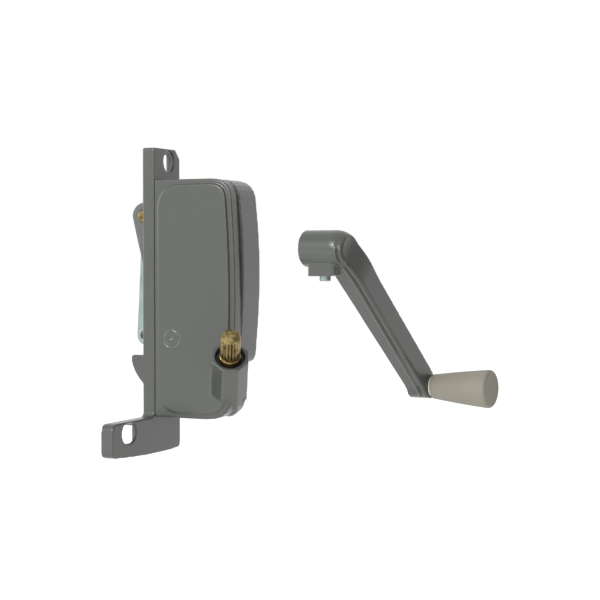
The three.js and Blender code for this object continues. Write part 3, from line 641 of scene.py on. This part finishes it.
def screwTree():
    # every point of the mesh gets a screw, head at the point and shank down its own -Z
    labels = ["Head", "Head Height", "Shank", "Reach", "Slot", "Slot Length", "Slot Depth"]
    group = Group("screwSet", [("Geometry", "NodeSocketGeometry")] + [
        (label, "NodeSocketFloat") for label in labels] + [("Finish", "NodeSocketMaterial")])
    head, height, shank = group.given("Head"), group.given("Head Height"), group.given("Shank")
    crown = group.node("GeometryNodeMeshCone", {"fill_type": "NGON"}, {
        "Vertices": 48, "Radius Bottom": head, "Radius Top": group.maths("MULTIPLY", head, 0.8),
        "Depth": height}, output="Mesh")
    crown = group.moved(crown, group.vector(z=group.maths("MULTIPLY", height, -1.0)))
    rod = group.node("GeometryNodeMeshCylinder", {"fill_type": "NGON"}, {
        "Vertices": 32, "Radius": shank, "Depth": group.given("Reach")}, output="Mesh")
    rod = group.moved(rod, group.vector(z=group.maths("SUBTRACT", group.maths(
        "MULTIPLY", group.given("Reach"), -0.5), group.maths("MULTIPLY", height, 0.6))))
    whole = group.node("GeometryNodeMeshBoolean", {"operation": "UNION"}, {"Mesh": [crown, rod]})
    deep = group.maths("MULTIPLY", group.given("Slot Depth"), 2.0)
    across = [group.given("Slot Length"), group.given("Slot")]
    arms = [group.node("GeometryNodeMeshCube", {}, {"Size": group.vector(*sides, deep)}, output="Mesh")
            for sides in (across, across[::-1])]
    cut = group.node("GeometryNodeMeshBoolean", {"operation": "DIFFERENCE"}, {
        "Mesh 1": whole, "Mesh 2": arms})
    turned = group.node("GeometryNodeTransform", {}, {
        "Geometry": cut, "Rotation": (math.radians(-90), 0.0, 0.0)})
    spread = group.node("GeometryNodeInstanceOnPoints", {}, {
        "Points": group.given("Geometry"), "Instance": turned})
    real = group.node("GeometryNodeRealizeInstances", {}, {"Geometry": spread})
    done = group.node("GeometryNodeSetMaterial", {}, {"Geometry": real, "Material": group.given("Finish")})
    group.tree.links.new(done, group.end.inputs["Geometry"])
    return group


def makeCoverScrews():
    group = screwTree()
    names = ["cover_screw_%d" % number for number in range(1, 5)]
    points = []
    for name in names:
        low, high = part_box(name)
        points.append(((low[0] + high[0]) / 2, high[1] - 0.02 * mm, (low[2] + high[2]) / 2))
    mesh = bpy.data.meshes.new("coverScrews")
    mesh.from_pydata(points, [], [])
    piece = newPiece("coverScrews", mesh)
    setter = piece.modifiers.new("screws", "NODES")
    setter.node_group = group.tree
    values = {"Head": "head", "Head Height": "headHeight", "Shank": "shank", "Reach": "reach",
              "Slot": "slot", "Slot Length": "slotLength", "Slot Depth": "slotDepth"}
    for label, key in values.items():
        setter[group.named[label].identifier] = screwLook[key] * mm
    setter[group.named["Finish"].identifier] = finishes["zinc_plate"]
    settle(piece)
    if piece.data.validate():
        print("cover screws: loose faces dropped")
    piece.data.shade_smooth()
    piece.data.set_sharp_from_angle(angle=math.radians(35))
    return finishPiece(piece, names[0], names[1:])


makeCoverScrews()
print("cover screws set")


knobLook = {"start": 33.0, "length": 30.0, "small": 5.9, "big": 9.0, "round": 1.7, "bore": 3.1,
            "depth": 22.5, "dish": 0.35, "mouth": 0.3}


def arc(centre, radius, first, last, steps):
    return [(centre[0] + radius * math.sin(math.radians(first + (last - first) * step / steps)),
             centre[1] + radius * math.cos(math.radians(first + (last - first) * step / steps)))
            for step in range(steps + 1)]


def makeKnob():
    look = knobLook
    end, roundEdge, small = look["length"], look["round"], look["small"]
    profile = [
        (0, look["depth"]), (look["bore"], look["depth"]),
        (look["bore"], look["mouth"]), (look["bore"] + look["mouth"], 0)]
    profile += arc((small - 0.7, 0.7), 0.7, 180, 100, 5)
    for step in range(1, 24):
        share = step / 24
        bulge = 0.18 * math.sin(math.pi * share)
        profile.append((small + (look["big"] - small) * share + bulge, 0.9 + (end - roundEdge - 0.9) * share))
    profile += arc((look["big"] - roundEdge, end - roundEdge), roundEdge, 88, 4, 8)
    rim = look["big"] - roundEdge
    for share in (0.97, 0.9, 0.8, 0.6, 0.3, 0):
        profile.append((rim * share, end - look["dish"] * (1 - share ** 4)))
    shift = Matrix.Translation((look["start"], 0, -crank["reach"]))
    piece = newPiece("taperKnob", lathe(profile, 96, toWorld @ shift))
    piece.data.shade_smooth()
    piece.data.set_sharp_from_angle(angle=math.radians(40))
    return finishPiece(piece, "knob")


makeKnob()
print("knob turned")


# Stage, light and camera
def makeStage():
    mesh = bpy.data.meshes.new("floor")
    made = bmesh.new()
    bmesh.ops.create_grid(made, x_segments=1, y_segments=1, size=6)
    bmesh.ops.translate(made, verts=made.verts, vec=(0, 0, -0.085))
    made.to_mesh(mesh)
    made.free()
    floor = newPiece("floor", mesh)
    finish = Finish("paleFloor")
    tone = finish.noise(0.6, 1.0)
    floor.data.materials.append(finish.surface(
        Base_Color=finish.mix(tone, (0.96, 0.96, 0.96, 1), (0.97, 0.97, 0.97, 1)), Roughness=0.9,
        Emission_Color=(1, 1, 1, 1), Emission_Strength=0.12))


def softLight(name, place, target, size, power):
    lamp = bpy.data.lights.new(name, "AREA")
    lamp.shape = "DISK"
    lamp.size = size
    lamp.energy = power
    holder = bpy.data.objects.new(name, lamp)
    holder.location = place
    holder.rotation_euler = (Vector(target) - Vector(place)).to_track_quat("-Z", "Y").to_euler()
    bpy.context.scene.collection.objects.link(holder)


def darkCard(name, corners):
    # a dark board beside the set keeps the faces that look away from the light deep in tone
    mesh = bpy.data.meshes.new(name)
    mesh.from_pydata(corners, [], [(0, 1, 2, 3)])
    card = newPiece(name, mesh)
    finish = Finish(name)
    tone = finish.noise(2.0, 1.0)
    card.data.materials.append(finish.surface(
        Base_Color=finish.mix(tone, (0.1, 0.095, 0.09, 1), (0.13, 0.125, 0.12, 1)), Roughness=0.9))


view = {"azimuth": 25.0, "pitch": 1.64, "lens": 90.0, "place": (0.3704, -0.6288, 0.0816)}


def makeCamera():
    camera = bpy.data.cameras.new("camera")
    camera.sensor_width = 36
    camera.lens = view["lens"]
    camera.clip_start = 0.01
    holder = bpy.data.objects.new("camera", camera)
    holder.location = view["place"]
    holder.rotation_euler = (math.radians(90 - view["pitch"]), 0, math.radians(view["azimuth"]))
    bpy.context.scene.collection.objects.link(holder)
    bpy.context.scene.camera = holder


makeStage()
target = (0.05, 0.0, 0.06)
softLight("key", (-0.25, -1.15, 0.6), target, 0.22, 8)
softLight("edge", (0.62, -1.05, 0.5), target, 0.12, 3.2)
softLight("fill", (-0.9, -0.5, 0.3), target, 0.5, 3)
darkCard("rightCard", [(0.85, -0.7, -0.084), (0.85, 0.6, -0.084), (0.85, 0.6, 1.3), (0.85, -0.7, 1.3)])
world = bpy.data.worlds.new("studio")
world.use_nodes = True
world.node_tree.nodes["Background"].inputs["Color"].default_value = (1, 1, 1, 1)
world.node_tree.nodes["Background"].inputs["Strength"].default_value = 1.0
bpy.context.scene.world = world
bpy.context.scene.view_settings.view_transform = "Standard"
makeCamera()
print("stage, light and camera set")
